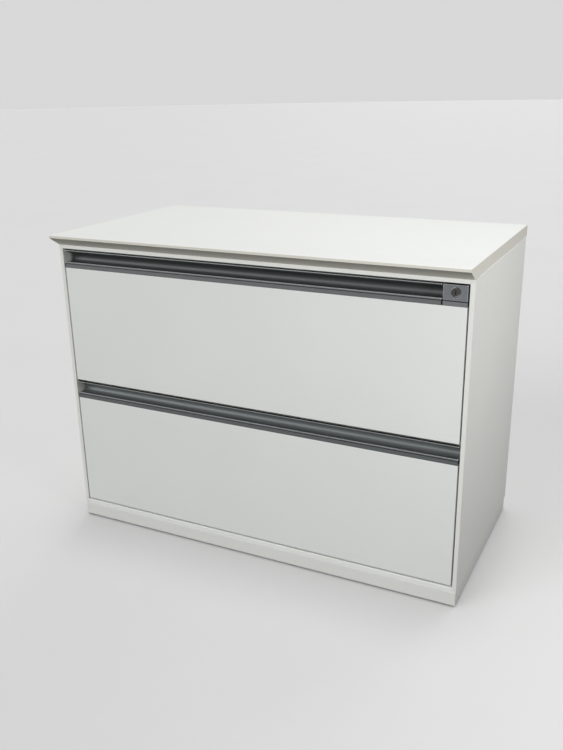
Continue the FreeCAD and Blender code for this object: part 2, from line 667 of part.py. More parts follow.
def tub(level, foot):
    """The drawer's tub of folded sheets, with the rails that suspension files hang from."""
    floor = f"{foot} + tub_rise"
    rim = f"{floor} + tub_height"
    for side, label in (("-1", "left"), ("1", "right")):
        outline = [(f"{side}*{part}", height) for part, height in (
            ("tub_side", rim), ("(tub_side - tub_hem)", rim), ("(tub_side - tub_hem)", f"{rim} - skin"),
            ("(tub_side - skin)", f"{rim} - skin"), ("(tub_side - skin)", f"{floor} + skin"),
            ("(tub_side - tub_foot)", f"{floor} + skin"), ("(tub_side - tub_foot)", floor),
            ("tub_side", floor))]
        wall = profile(f"{level}_{label}_wall", "XZ_Plane", outline, "tub_front", "tub_back",
                       [("skin", (0, 7))])
        if label == "right":
            tab_foot = f"{foot} + tab_rise"
            tab = block(f"{level}_tab", ("tub_side - skin", "tub_side + tab_reach"),
                        ("bar_back + tab_behind_bar", "bar_back + tab_behind_bar + tab_depth"),
                        (tab_foot, f"{tab_foot} + tab_height"))
            wall = join(f"{level}_wall_with_tab", wall, tab)
        node(wall, f"{level}_tub_{label}_side")
    node(block(f"{level}_floor_sheet", ("skin - tub_side", "tub_side - skin"),
               ("tub_front", "tub_back - skin"), (f"{floor} + skin", f"{floor} + 2*skin")),
         f"{level}_tub_floor")
    outline = [("tub_back", f"{floor} + skin"), ("tub_back", rim), ("tub_back - tub_hem", rim),
               ("tub_back - tub_hem", f"{rim} - skin"), ("tub_back - skin", f"{rim} - skin"),
               ("tub_back - skin", f"{floor} + skin")]
    node(profile(f"{level}_back_sheet", "YZ_Plane", outline, "tub_hem - tub_side", "tub_side - tub_hem",
                 [("skin", (1,))]), f"{level}_tub_back")
    rails = []
    lip_top = f"{rim} - rail_drop"
    step = f"{lip_top} - rail_lip"
    for label, wall, inward in (("front", "tub_front", "1"), ("back", "tub_back - skin", "-1")):
        def at(depth, height):
            return (f"{wall} + {inward}*({depth})", height)
        outline = [at("0", f"{step} - rail_leg"), at("0", step), at("rail_arm", step),
                   at("rail_arm", lip_top), at("rail_arm + rail_wall", lip_top),
                   at("rail_arm + rail_wall", f"{step} - rail_wall"),
                   at("rail_wall", f"{step} - rail_wall"), at("rail_wall", f"{step} - rail_leg")]
        rails.append(profile(f"{level}_rail_{label}", "YZ_Plane", outline, "tub_hem - tub_side",
                             "tub_side - tub_hem", [("rail_wall/3", (3, 4))]))
    node(group(f"{level}_rails", *rails), f"{level}_hanging_rails")


def half_section(web, ahead, flange, half, out_line=None, in_line=None):
    """Upper half of a slide member's C section, as corners (depth from the carrier, rise).

    ahead is 1 where the flange points to the tub and -1 where it points back to the carrier. out_line
    and in_line are the depths of the ball races on the outside and the inside of the flange.
    """
    inner = f"({half}) - slide_sheet"
    tip = f"{web} + ({ahead})*({flange})"
    groove = "(ball_radius + race_play)"
    reach = f"sqrt(pow({groove}; 2) - pow({groove} - race_depth; 2))"

    def race(line, rise, way):
        first, last = f"{line} - ({way})*{reach}", f"{line} + ({way})*{reach}"
        return [(first, rise), (last, rise, groove, ahead)]

    corners = [(web, half)]
    if out_line:
        corners += race(out_line, half, ahead)
    corners += [(tip, half), (tip, inner)]
    if in_line:
        corners += race(in_line, inner, -ahead)
    return corners + [(f"{web} + ({ahead})*slide_sheet", inner)]


def slide_outline(side, middle, upper):
    """A whole section from its upper half, set at the slide's middle height on one side."""
    whole = [(corner[0], corner[1], corner[2:]) for corner in upper]
    for index in range(len(upper) - 1, -1, -1):
        bend = upper[index + 1][2:] if index + 1 < len(upper) else ()
        whole.append((upper[index][0], f"-({upper[index][1]})", bend))
    flip = -1 if side == "1" else 1
    return [(f"{side}*(slide_wall - ({depth}))", f"({middle}) + ({rise})")
            + ((bend[0], bend[1] * flip) if bend else ()) for depth, rise, bend in whole]


# Heights of the races and depths of the ball rows, from the outer member inwards
RACES = {
    "outer_half": "slide_height/2",
    "outer_ball": "outer_half - slide_sheet + race_depth - ball_play - ball_radius",
    "middle_half": "outer_ball - ball_radius - ball_play + race_depth",
    "inner_ball": "middle_half - slide_sheet + race_depth - ball_play - ball_radius",
    "inner_half": "inner_ball - ball_radius - ball_play + race_depth",
    "middle_web": "slide_sheet + cage_sheet + 2*slide_gap",
    "outer_line": "slide_thickness/2 - slide_gap",
    "inner_line": "slide_thickness/2 + 3*slide_gap",
}
PLACES.update(RACES)


def slide(level, side, label):
    """One telescopic slide: three C sections that run on two pairs of ball rows in cages."""
    middle = f"{level}_foot + slide_rise"
    name = f"{level}_{label}_slide"
    front, back = "slide_front", "slide_front + slide_length"
    members = {
        "outer": half_section("0", 1, "outer_flange", "outer_half", in_line="outer_line"),
        "middle": half_section("middle_web", 1, "middle_flange", "middle_half", "outer_line", "inner_line"),
        "inner": half_section("slide_thickness", -1, "inner_flange", "inner_half", out_line="inner_line"),
    }
    webs = {"outer": ("-overrun", "slide_sheet + overrun"),
            "inner": ("slide_thickness - slide_sheet - overrun", "slide_thickness + overrun")}
    for part, upper in members.items():
        body = profile(f"{name}_{part}", "XZ_Plane", slide_outline(side, middle, upper), front, back)
        if part in webs:
            near, far = webs[part]
            hole_x = sorted_pair(side, f"slide_wall - ({far})", f"slide_wall - ({near})")
            slot_pattern(body, hole_x, (f"{front} + screw_margin", f"{front} + screw_margin + 2*screw_hole"),
                         (f"{middle} - screw_hole", f"{middle} + screw_hole"),
                         columns=("screw_span/(screw_count - 1)", "screw_count"))
        node(body, f"{name}_{part}")
    ball_cage(f"{name}_outer_cage", side, middle, "slide_sheet + slide_gap", "outer_ball", "outer_line")
    ball_cage(f"{name}_inner_cage", side, middle, "middle_web + slide_sheet + slide_gap", "inner_ball",
              "inner_line")


def ball_cage(name, side, middle, web, rise, line):
    """A thin C strip that spaces the balls, and the balls that it carries."""
    start, end = "slide_front + cage_start", "slide_front + cage_start + cage_length"
    tip = f"{line} + ball_radius + cage_lip"
    outer, inner = f"{rise} + cage_sheet/2", f"{rise} - cage_sheet/2"
    upper = [(web, outer), (tip, outer), (tip, inner), (f"{web} + cage_sheet", inner)]
    strip = profile(name + "_strip", "XZ_Plane", slide_outline(side, middle, upper), start, end)
    pitch = "(cage_length - 2*cage_margin)/(ball_count - 1)"
    room = "(ball_radius + cage_hole_play)"
    balls, holes = [], []
    for index in range(int(value("ball_count"))):
        for row, sign in (("upper", "+"), ("lower", "-")):
            x = f"{side}*(slide_wall - {line})"
            y = f"{start} + cage_margin + {index}*{pitch}"
            z = f"{middle} {sign} ({rise})"
            balls.append(ball(f"{name}_{row}_ball_{index}", "ball_radius", x, y, z))
            holes.append(block(f"{name}_{row}_window_{index}", (f"{x} - {room}", f"{x} + {room}"),
                               (f"{y} - {room}", f"{y} + {room}"),
                               (f"{z} - cage_sheet", f"{z} + cage_sheet")))
    node(group(name + "_set", cut(name + "_drilled", strip, *holes), *balls), name)


def lock():
    """Housing block, cylinder, plug with its cam, and the bar that catches both drawers."""
    top = "lock_foot + handle_height"
    front, back = "body_front", "body_front + handle_depth + handle_wall"
    ridge_foot = "lock_foot + handle_band - band_ridge"
    groove_foot = f"{ridge_foot} - band_groove"
    body = profile("lock_block", "YZ_Plane",
                   [(front, "lock_foot"), (front, groove_foot),
                    (f"{front} + lock_groove_depth", groove_foot),
                    (f"{front} + lock_groove_depth", ridge_foot), (front, ridge_foot), (front, top),
                    (back, top), (back, "lock_foot")], "lock_block_left", "front_side")
    round_front(body, front, "lock_round")
    bore = rod("barrel_bore", "lock_barrel_radius", f"{front} - overrun",
               f"{back} - ({front}) + 2*overrun", "lock_x", "lock_z")
    node(cut("lock_block_bored", body, bore), "lock_housing")
    proud = f"{front} - lock_barrel_proud"
    barrel = rod("barrel", "lock_barrel_radius", proud, span(proud, back), "lock_x", "lock_z")
    plug_bore = rod("plug_bore", "plug_radius + plug_play", f"{proud} - overrun",
                    f"{span(proud, back)} + 2*overrun", "lock_x", "lock_z")
    node(cut("barrel_bored", barrel, plug_bore), "lock_cylinder")
    plug_front = f"{front} - plug_proud"
    keyway = block("keyway", ("lock_x - keyway_width/2", "lock_x + keyway_width/2"),
                   (f"{plug_front} - overrun", f"{plug_front} + keyway_depth"),
                   ("lock_z - keyway_height/2", "lock_z + keyway_height/2"))
    plug = rod("plug", "plug_radius", plug_front, span(plug_front, back), "lock_x", "lock_z")
    tail = rod("tail", "tail_radius", back, span(back, "plug_back"), "lock_x", "lock_z")
    node(cut("plug_cut", join("plug_and_tail", plug, tail), keyway), "lock_plug")
    # The cam is a crank: round on the tail, round at its pin, with straight flanks between
    pin_x, pin_z = "lock_x - crank_radius*cos(45)", "crank_low"
    boss = rod("cam_boss", "cam_boss_radius", "plug_back", "cam_sheet", "lock_x", "lock_z")
    tip = rod("cam_tip", "cam_tip_radius", "plug_back", "cam_sheet", pin_x, pin_z)
    web = document.addObject("Part::Box", "cam_web")
    web.Placement.Rotation = FreeCAD.Rotation(FreeCAD.Vector(0, 1, 0), 135)
    bind(web, Length="crank_radius", Width="cam_sheet", Height="2*cam_tip_radius")
    place(web, "lock_x - cam_tip_radius*sin(45)", "plug_back", "lock_z + cam_tip_radius*cos(45)")
    pin = rod("crank_pin", "crank_pin_radius", "cam_back", "crank_pin_length", pin_x, pin_z)
    node(join("cam", boss, tip, web, pin), "lock_cam")
    # The bar: a flat strip with an arm round the crank pin and a hook for each drawer
    strip = block("bar_strip", ("bar_inside", "bar_outside"), ("bar_front", "bar_back"),
                  ("opening_bottom + bar_foot", "worktop_under - bar_head"))
    arm_y = ("cam_back + bar_arm_start", "cam_back + bar_arm_start + bar_sheet")
    arm = block("bar_arm", ("slot_left - bar_arm_margin", "bar_inside"), arm_y,
                ("crank_low - slot_half - bar_arm_margin", "crank_low + slot_half + bar_arm_margin"))
    slot = block("bar_slot", ("slot_left", "slot_right"),
                 (f"{arm_y[0]} - overrun", f"{arm_y[1]} + overrun"),
                 ("crank_low - slot_half", "crank_low + slot_half"))
    hooks = []
    for level in ("lower", "upper"):
        hook_top = f"{level}_foot + tab_rise - hook_drop"
        hooks.append(block(f"{level}_hook", ("hook_tip", "bar_inside"), ("bar_back - bar_sheet", "bar_back"),
                           (f"{hook_top} - hook_height", hook_top)))
    node(cut("bar", join("bar_solid", strip, arm, *hooks), slot), "gang_lock_bar")
    guides = []
    for label, foot in (("lower", "opening_bottom + guide_low"), ("upper", "worktop_under - guide_high")):
        inner_x = "bar_inside - guide_play"
        outline = [("body_side - skin", "bar_front - guide_play - guide_wall"),
                   (f"{inner_x} - guide_wall", "bar_front - guide_play - guide_wall"),
                   (f"{inner_x} - guide_wall", "bar_back + guide_play + guide_wall"),
                   ("body_side - skin", "bar_back + guide_play + guide_wall"),
                   ("body_side - skin", "bar_back + guide_play"), (inner_x, "bar_back + guide_play"),
                   (inner_x, "bar_front - guide_play"), ("body_side - skin", "bar_front - guide_play")]
        guides.append(profile(f"{label}_guide", "XY_Plane", outline, foot, f"{foot} + guide_height"))
    node(group("guides", *guides), "lock_bar_guides")


def write_parts():
    """Check every object, then write each sub-part to its own file."""
    document.recompute()
    for item in document.Objects:
        if "Invalid" in item.State or "Error" in item.State:
            raise RuntimeError(f"{item.Label} failed: {item.State}")
    for item in NODES:
        if item.Shape.isNull() or not item.Shape.isValid() or not item.Shape.Solids:
            raise RuntimeError(f"{item.Label} has no valid shape")
    os.makedirs("parts", exist_ok=True)
    for item in NODES:
        item.Shape.exportStep(f"parts/{item.Label}.step")
    print(len(NODES), "sub-parts written")


worktop()
shell()
base()
feet()
carriers()
counterweight()
for drawer_level in ("lower", "upper"):
    drawer(drawer_level)
    for slide_side, slide_label in (("-1", "left"), ("1", "right")):
        slide(drawer_level, slide_side, slide_label)
lock()
write_parts()
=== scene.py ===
"""Looks of a two-drawer lateral filing cabinet: white powder coat, laminate worktop and grey handles.

Metres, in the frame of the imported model: X runs along the front to the right, Y to the back, Z up.
"""
import math

import bmesh
import bpy
from mathutils import Matrix, Vector


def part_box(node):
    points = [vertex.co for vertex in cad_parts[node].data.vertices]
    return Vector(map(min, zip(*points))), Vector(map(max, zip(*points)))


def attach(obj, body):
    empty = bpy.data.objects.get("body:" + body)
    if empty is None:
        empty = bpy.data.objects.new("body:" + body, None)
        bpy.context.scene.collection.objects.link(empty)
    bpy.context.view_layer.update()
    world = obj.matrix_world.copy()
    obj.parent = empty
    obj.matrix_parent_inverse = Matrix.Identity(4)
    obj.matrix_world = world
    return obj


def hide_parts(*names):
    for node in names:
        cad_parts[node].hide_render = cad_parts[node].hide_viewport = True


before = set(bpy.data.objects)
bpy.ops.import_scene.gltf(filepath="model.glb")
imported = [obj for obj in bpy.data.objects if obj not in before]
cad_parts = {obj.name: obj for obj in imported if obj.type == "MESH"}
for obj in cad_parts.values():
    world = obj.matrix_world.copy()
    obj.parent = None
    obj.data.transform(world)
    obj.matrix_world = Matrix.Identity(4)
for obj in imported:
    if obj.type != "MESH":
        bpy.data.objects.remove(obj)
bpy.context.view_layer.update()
LEVELS = ("lower", "upper")
SIDES = (("left", -1), ("right", 1))
MM = 0.001

# Materials

# Ranges of a noise that a ramp stretches to 0..1: the narrower the range, the crisper the patches
WIDE = (0.2, 0.8)
SOFT = (0.25, 0.75)
PLAIN = (0.3, 0.7)
CRISP = (0.35, 0.65)
CLOUDS = (0.3, 0.75)
STREAKS = (0.4, 0.7)
DUST = (0.4, 0.8)
SPOTS = (0.45, 0.75)
# How many times longer a noise's features are along X, Y and Z
EVEN = (1, 1, 1)
WIPED_X = (6, 1, 1)
ROLLED_X = (60, 1, 1)
ROLLED_Y = (1, 60, 1)
DRAWN_X = (120, 1, 1)
# Rays of the nodes that look around a point
OPENNESS_SAMPLES = 8
EDGE_SAMPLES = 6
# An edge: where a rounded normal leans from the real one by these cosines and the surface is this open
EDGE_LEAN = (0.995, 0.86)
EDGE_OPEN = (0.75, 0.95)
EDGE_REACH = 2.5 * MM
# A rim: how open the inside of the piece is, from thick to thin
RIM_THIN = (0.93, 0.62)
WHITEST = 0.97


class Graph:
    """A material's node tree, built node by node."""

    def __init__(self, name):
        self.material = bpy.data.materials.new(name)
        self.material.use_nodes = True
        self.tree = self.material.node_tree
        self.shader = self.tree.nodes["Principled BSDF"]
        self.coordinates = self.node("ShaderNodeTexCoord").outputs

    def node(self, kind, inputs=None, **settings):
        made = self.tree.nodes.new(kind)
        for key, setting in settings.items():
            setattr(made, key, setting)
        for key, source in (inputs or {}).items():
            self.feed(made.inputs[key], source)
        return made

    def feed(self, socket, source):
        if isinstance(source, bpy.types.NodeSocket):
            self.tree.links.new(source, socket)
        else:
            socket.default_value = source

    def noise(self, size, detail, stretch=EVEN):
        """Smooth noise from 0 to 1 with features of about size metres, longer along a stretched axis."""
        place = self.coordinates["Object"]
        if stretch != EVEN:
            scale = tuple(1 / share for share in stretch)
            place = self.node("ShaderNodeMapping", {"Vector": place, "Scale": scale}).outputs[0]
        texture = self.node("ShaderNodeTexNoise", {"Vector": place, "Scale": 1 / size, "Detail": detail})
        return texture.outputs["Fac"]

    def ramp(self, source, low, high, start=0.0, end=1.0):
        """The source stretched from low..high to start..end."""
        return self.node("ShaderNodeMapRange", {"Value": source, "From Min": low, "From Max": high,
                                                "To Min": start, "To Max": end}).outputs[0]

    def product(self, first, second):
        return self.node("ShaderNodeMath", {0: first, 1: second}, operation="MULTIPLY").outputs[0]

    def blend(self, share, first, second):
        """The first colour where share is 0, and the second where it is 1."""
        mix = self.node("ShaderNodeMix", data_type="RGBA")
        for key, source in ((0, share), (6, first), (7, second)):
            self.feed(mix.inputs[key], source)
        return mix.outputs[2]

    def mottle(self, source, first, second):
        """Two colours in the soft patches of a noise."""
        return self.blend(self.ramp(source, *PLAIN), first, second)

    def within(self):
        """How far along the piece's own box a point lies: X, Y and Z, each from 0 to 1."""
        return self.node("ShaderNodeSeparateXYZ", {0: self.coordinates["Generated"]}).outputs

    def facing_up(self):
        """1 on a face that looks up, 0 on an upright one and -1 on one that looks down."""
        normal = self.node("ShaderNodeNewGeometry").outputs["Normal"]
        return self.node("ShaderNodeSeparateXYZ", {0: normal}).outputs["Z"]

    def openness(self, reach):
        """Near 0 in a groove or a closed corner and 1 where nothing stands within reach."""
        occlusion = self.node("ShaderNodeAmbientOcclusion", {"Distance": reach}, samples=OPENNESS_SAMPLES,
                              only_local=True)
        return occlusion.outputs["AO"]

    def edges(self, radius):
        """Up to 1 on standing edges, where a rounded normal leans from the real one, and 0 elsewhere."""
        rounded = self.node("ShaderNodeBevel", {"Radius": radius}, samples=EDGE_SAMPLES).outputs[0]
        plain = self.node("ShaderNodeNewGeometry").outputs["Normal"]
        along = self.node("ShaderNodeVectorMath", {0: rounded, 1: plain}, operation="DOT_PRODUCT")
        leaning = self.ramp(along.outputs["Value"], *EDGE_LEAN)
        standing = self.ramp(self.openness(EDGE_REACH), *EDGE_OPEN)
        return self.product(leaning, standing)

    def rims(self, reach):
        """Up to 1 on edges, roundings and lips, where the piece itself is thin, and 0 on flats."""
        occlusion = self.node("ShaderNodeAmbientOcclusion", {"Distance": reach}, samples=OPENNESS_SAMPLES,
                              inside=True, only_local=True)
        return self.ramp(occlusion.outputs["AO"], *RIM_THIN)

    def colour(self, source):
        self.feed(self.shader.inputs["Base Color"], source)

    def roughness(self, source, span, middle, smoother, duller):
        """Roughness around a middle value, smoother where a noise is low and duller where it is high."""
        varied = self.ramp(source, *span, middle - smoother, middle + duller)
        self.feed(self.shader.inputs["Roughness"], varied)

    def bumps(self, *layers):
        """Bump from (height source, depth in metres) layers, the first one lowest."""
        normal = None
        for source, depth in layers:
            inputs = {"Height": source, "Distance": depth, "Strength": 1.0}
            if normal:
                inputs["Normal"] = normal
            normal = self.node("ShaderNodeBump", inputs).outputs[0]
        self.feed(self.shader.inputs["Normal"], normal)

    def finish(self, **constants):
        """The material, with the shader's own values set, such as Metallic=1.0."""
        for key, constant in constants.items():
            self.feed(self.shader.inputs[key.replace("_", " ")], constant)
        return self.material


def rgb(red, green, blue):
    return (red, green, blue, 1.0)


def grey(level, warm=0.0):
    """A grey with a little warmth (positive) or coolness (negative)."""
    return rgb(level * (1 + warm), level, level * (1 - warm))


def tone(colour, share):
    """A colour made lighter or darker, and never quite white."""
    return rgb(*(min(part * share, WHITEST) for part in colour[:3]))


# Powder coat: tones of its patches and of the painted highlight on its folds, width of a fold, and gloss
COAT_DARK = 0.985
COAT_LIGHT = 1.01
FOLD_HIGHLIGHT_TONE = 1.12
FOLD_WIDTH = 1.5 * MM
COAT_GLOSS = 0.3


def powder_coat(name, colour, rough):
    """Powder coat on sheet metal with a fine orange-peel skin, and a painted highlight on its folds."""
    graph = Graph(name)
    patches = graph.noise(220 * MM, detail=3.0)
    handled = graph.noise(35 * MM, detail=4.0)
    peel = graph.noise(1.1 * MM, detail=1.0)
    grain = graph.noise(0.35 * MM, detail=0.0)
    coat = graph.mottle(patches, tone(colour, COAT_DARK), tone(colour, COAT_LIGHT))
    # Painted highlight: the folds are lightened where light would catch them
    coat = graph.blend(graph.edges(FOLD_WIDTH), coat, tone(colour, FOLD_HIGHLIGHT_TONE))
    graph.colour(coat)
    graph.roughness(handled, SOFT, rough, smoother=0.04, duller=0.05)
    graph.bumps((peel, 0.025 * MM), (grain, 0.006 * MM))
    return graph.finish(Specular_IOR_Level=COAT_GLOSS)


# Laminate: tones of the patches and of the pearl grain, and how much of the grain shows
FACE_DARK = 0.985
EDGING_DARK = 0.98
PEARL_TONE = 0.9
PEARL_SHOWN = 0.06
# Where the edging turns into the face and into its bevel, by how far the surface faces up
FACE_TURN = (0.55, 0.85)
BEVEL_TURN = (-0.2, -0.5)
# How far up the board its bevel starts and ends, and the tones of the painted light at its foot and the
# painted shade at its top
BEVEL_FOOT = 0.05
BEVEL_TOP = 0.77
BEVEL_FOOT_LIGHT_TONE = 1.08
BEVEL_TOP_SHADE_TONE = 0.50
# The seam between face and edging, on the rounding that faces up this much
SEAM_TURN = 0.8
SEAM_SPAN = 0.07
SEAM_SHOWN = 0.25
SEAM_TONE = 0.6
LAMINATE_GLOSS = 0.4


def laminate(name, colour, edging, rough):
    """Melamine-faced board: pearl grain, faint wipe marks, and creamier edging with a fine seam.

    The bevel under the edging's nose has painted shade, darker from its foot to its top.
    """
    graph = Graph(name)
    patches = graph.noise(300 * MM, detail=3.0)
    pearl = graph.noise(0.7 * MM, detail=2.0)
    wipes = graph.noise(50 * MM, detail=4.0, stretch=WIPED_X)
    up = graph.facing_up()
    bevel_shading = graph.ramp(graph.within()["Z"], BEVEL_FOOT, BEVEL_TOP)
    seam = graph.node("ShaderNodeMath", {0: up, 1: SEAM_TURN, 2: SEAM_SPAN}, operation="COMPARE").outputs[0]
    top = graph.mottle(patches, tone(colour, FACE_DARK), colour)
    top = graph.blend(graph.ramp(pearl, *CRISP, end=PEARL_SHOWN), top, tone(colour, PEARL_TONE))
    strip = graph.mottle(patches, tone(edging, EDGING_DARK), edging)
    # Painted light and shade on the bevel: lighter at its foot, darker towards its top
    bevel = graph.blend(bevel_shading, tone(edging, BEVEL_FOOT_LIGHT_TONE), tone(edging, BEVEL_TOP_SHADE_TONE))
    strip = graph.blend(graph.ramp(up, *BEVEL_TURN), strip, bevel)
    board = graph.blend(graph.ramp(up, *FACE_TURN), strip, top)
    board = graph.blend(graph.ramp(seam, 0, 1, end=SEAM_SHOWN), board, tone(edging, SEAM_TONE))
    graph.colour(board)
    graph.roughness(wipes, WIDE, rough, smoother=0.05, duller=0.05)
    graph.bumps((pearl, 0.02 * MM))
    return graph.finish(Specular_IOR_Level=LAMINATE_GLOSS)


# Extrusion: tones of its patches and of its draw lines, and how much of the lines shows
PATCH_TONE = 1.12
LINE_TONE = 1.22
LINES_SHOWN = 0.6
# Just above the ridge's foot, where the painted highlight on the rims starts, as a share of the height that
# handle and lock block have in common
RIDGE_FOOT = 0.262
RIDGE_BLEND = 0.015
RIM_REACH = 1.2 * MM
# How far in the painted light and shade of the hollow back starts, as shares of the depth
HOLLOW = (0.25, 0.6)
# The top edge, as shares of the height, and the tone of the painted shade on it
TOP_EDGE = (0.983, 0.992)
TOP_SHADE_TONE = 0.15
# Reach and openness that mark the painted shade in the groove under the ridge, and then in the deep corners
GROOVE_REACH = 2.5 * MM
GROOVE_OPEN = (0.95, 0.70)
CORNER_REACH = 5 * MM
CORNER_OPEN = (0.35, 0.15)
GROOVE_SHADE_TONE = 0.1
# How much of the groove's painted shade reaches above the ridge's foot
GROOVE_ABOVE = 0.45


def extrusion(name, colour, rim_highlight, hollow_painted_light, metallic=0.20, rough=0.46):
    """Satin extrusion: faint draw lines along X, with painted shade in its groove, a painted highlight on
    its ridge and lip, and painted shade on its top edge.

    Its hollow back has the colour times hollow_painted_light: painted shade below 1 and painted light above
    1.
    """
    graph = Graph(name)
    lines = graph.noise(0.5 * MM, detail=3.0, stretch=DRAWN_X)
    patches = graph.noise(60 * MM, detail=3.0)
    speck = graph.noise(0.4 * MM, detail=0.0)
    place = graph.within()
    height = place["Z"]
    above = graph.ramp(height, RIDGE_FOOT, RIDGE_FOOT + RIDGE_BLEND)
    rims = graph.product(graph.rims(RIM_REACH), above)
    hidden = graph.ramp(graph.openness(GROOVE_REACH), *GROOVE_OPEN)
    groove_shade = graph.product(hidden, graph.ramp(above, 0, 1, start=1, end=GROOVE_ABOVE))
    corners = graph.ramp(graph.openness(CORNER_REACH), *CORNER_OPEN)
    base = graph.mottle(patches, colour, tone(colour, PATCH_TONE))
    base = graph.blend(graph.ramp(lines, *STREAKS, end=LINES_SHOWN), base, tone(colour, LINE_TONE))
    # Painted light and shade on the channel's deep back
    base = graph.blend(graph.ramp(place["Y"], *HOLLOW), base, tone(colour, hollow_painted_light))
    # Painted highlight on the rims of the ridge and lip, above the ridge's foot
    base = graph.blend(rims, base, rim_highlight)
    # Painted shade on the top edge, which sits in the dark gap under the rail
    base = graph.blend(graph.ramp(height, *TOP_EDGE), base, tone(colour, TOP_SHADE_TONE))
    # Painted shade in the groove and the deep corners, where little light gets in
    base = graph.blend(groove_shade, base, tone(colour, GROOVE_SHADE_TONE))
    base = graph.blend(corners, base, tone(colour, GROOVE_SHADE_TONE))
    graph.colour(base)
    graph.roughness(lines, PLAIN, rough, smoother=0.06, duller=0.06)
    graph.bumps((lines, 0.012 * MM), (speck, 0.004 * MM))
    return graph.finish(Metallic=metallic)


# Plated steel: its dull clouds, and the painted highlight on its edges
DULL_TONE = 0.8
DULL_WARMTH = 0.03
PLATED_EDGE = 0.8 * MM
BRIGHTEST = 0.95


def plated(name, level, rough, warm=0.0, stretch=ROLLED_Y, edge_highlight_gain=1.2):
    """Bright zinc-plated or rolled steel with fine rolling lines, a cloudy passivation and painted
    highlights on its edges.
    """
    graph = Graph(name)
    lines = graph.noise(0.4 * MM, detail=3.0, stretch=stretch)
    clouds = graph.noise(12 * MM, detail=4.0)
    dull = grey(level * DULL_TONE, warm + DULL_WARMTH)
    base = graph.blend(graph.ramp(clouds, *CLOUDS), grey(level, warm), dull)
    # Painted highlight on the edges
    base = graph.blend(graph.edges(PLATED_EDGE), base, grey(min(level * edge_highlight_gain, BRIGHTEST)))
    graph.colour(base)
    graph.roughness(clouds, SOFT, rough, smoother=0.07, duller=0.1)
    graph.bumps((lines, 0.01 * MM))
    return graph.finish(Metallic=1.0)


# Dust on moulded plastic
DUST_GAIN = 2.2
DUST_WARMTH = 0.03
DUST_SHOWN = 0.35


def moulded(name, level, rough):
    """Moulded plastic with a fine spark-eroded grain and a little dust."""
    graph = Graph(name)
    grain = graph.noise(0.5 * MM, detail=2.0)
    dust = graph.noise(20 * MM, detail=5.0)
    dusty = grey(level * DUST_GAIN, DUST_WARMTH)
    graph.colour(graph.blend(graph.ramp(dust, *DUST, end=DUST_SHOWN), grey(level), dusty))
    graph.roughness(dust, PLAIN, rough, smoother=0.05, duller=0.1)
    graph.bumps((grain, 0.03 * MM))
    return graph.finish()


# Rubbed spots on the cast slab
SPOT_GAIN = 2.4
SPOT_WARMTH = 0.08
SPOTS_SHOWN = 0.6


def cast(name, level, rough):
    """Painted cast slab with a coarse skin and rubbed spots."""
    graph = Graph(name)
    skin = graph.noise(2.5 * MM, detail=5.0)
    spots = graph.noise(15 * MM, detail=4.0)
    rubbed = grey(level * SPOT_GAIN, SPOT_WARMTH)
    graph.colour(graph.blend(graph.ramp(spots, *SPOTS, end=SPOTS_SHOWN), grey(level), rubbed))
    graph.roughness(spots, PLAIN, rough, smoother=0.1, duller=0.1)
    graph.bumps((skin, 0.25 * MM))
    return graph.finish()


# Colours of the painted highlights on the rims of the handles and the lock block
HANDLE_RIM_HIGHLIGHT = rgb(0.88, 0.89, 0.90)
LOCK_RIM_HIGHLIGHT = rgb(0.72, 0.73, 0.75)
MATERIALS = {
    "worktop": laminate("worktop_laminate", rgb(0.835, 0.847, 0.818), edging=rgb(0.690, 0.675, 0.605),
                        rough=0.60),
    "body": powder_coat("body_powder_coat", rgb(0.785, 0.790, 0.755), rough=0.41),
    # A lighter copy of the body's coat: painted light on the top and bottom rails, which are the same
    # painted sheet as the body
    "rail": powder_coat("rail_powder_coat_painted_light", rgb(0.840, 0.850, 0.820), rough=0.41),
    "front": powder_coat("front_powder_coat", rgb(0.775, 0.795, 0.778), rough=0.41),
    "base": powder_coat("base_powder_coat", rgb(0.755, 0.765, 0.735), rough=0.42),
    # The two handles are copies of one finish with painted light and shade: the upper has a lighter band
    # and painted shade in its channel, the lower a darker band and painted light in its channel
    "upper_handle": extrusion("upper_handle_grey_painted_shade", rgb(0.101, 0.109, 0.112), HANDLE_RIM_HIGHLIGHT, hollow_painted_light=0.5),
    "lower_handle": extrusion("lower_handle_grey_painted_light", rgb(0.082, 0.091, 0.093), HANDLE_RIM_HIGHLIGHT, hollow_painted_light=1.6),
    # The lock block has painted shade on its deeper parts
    "lock_block": extrusion("lock_block_grey", rgb(0.142, 0.151, 0.161), LOCK_RIM_HIGHLIGHT, hollow_painted_light=0.5,
                            metallic=0.45, rough=0.34),
    # A strong painted highlight on the cylinder's rim edge
    "lock_metal": plated("lock_cylinder_metal", 0.10, rough=0.15, stretch=EVEN, edge_highlight_gain=3.5),
    "lock_plug": plated("lock_plug_metal", 0.08, rough=0.26, stretch=EVEN),
    "zinc": plated("zinc_steel", 0.66, rough=0.32, warm=0.004),
    "cage": plated("cage_steel", 0.50, rough=0.30),
    "ball": plated("ball_steel", 0.80, rough=0.14, stretch=EVEN),
    "hanging_rail": plated("hanging_rail_zinc", 0.62, rough=0.30, stretch=ROLLED_X),
    "ballast": cast("counterweight_black", 0.03, rough=0.65),
    "foot": moulded("foot_black_plastic", 0.02, rough=0.5),
}

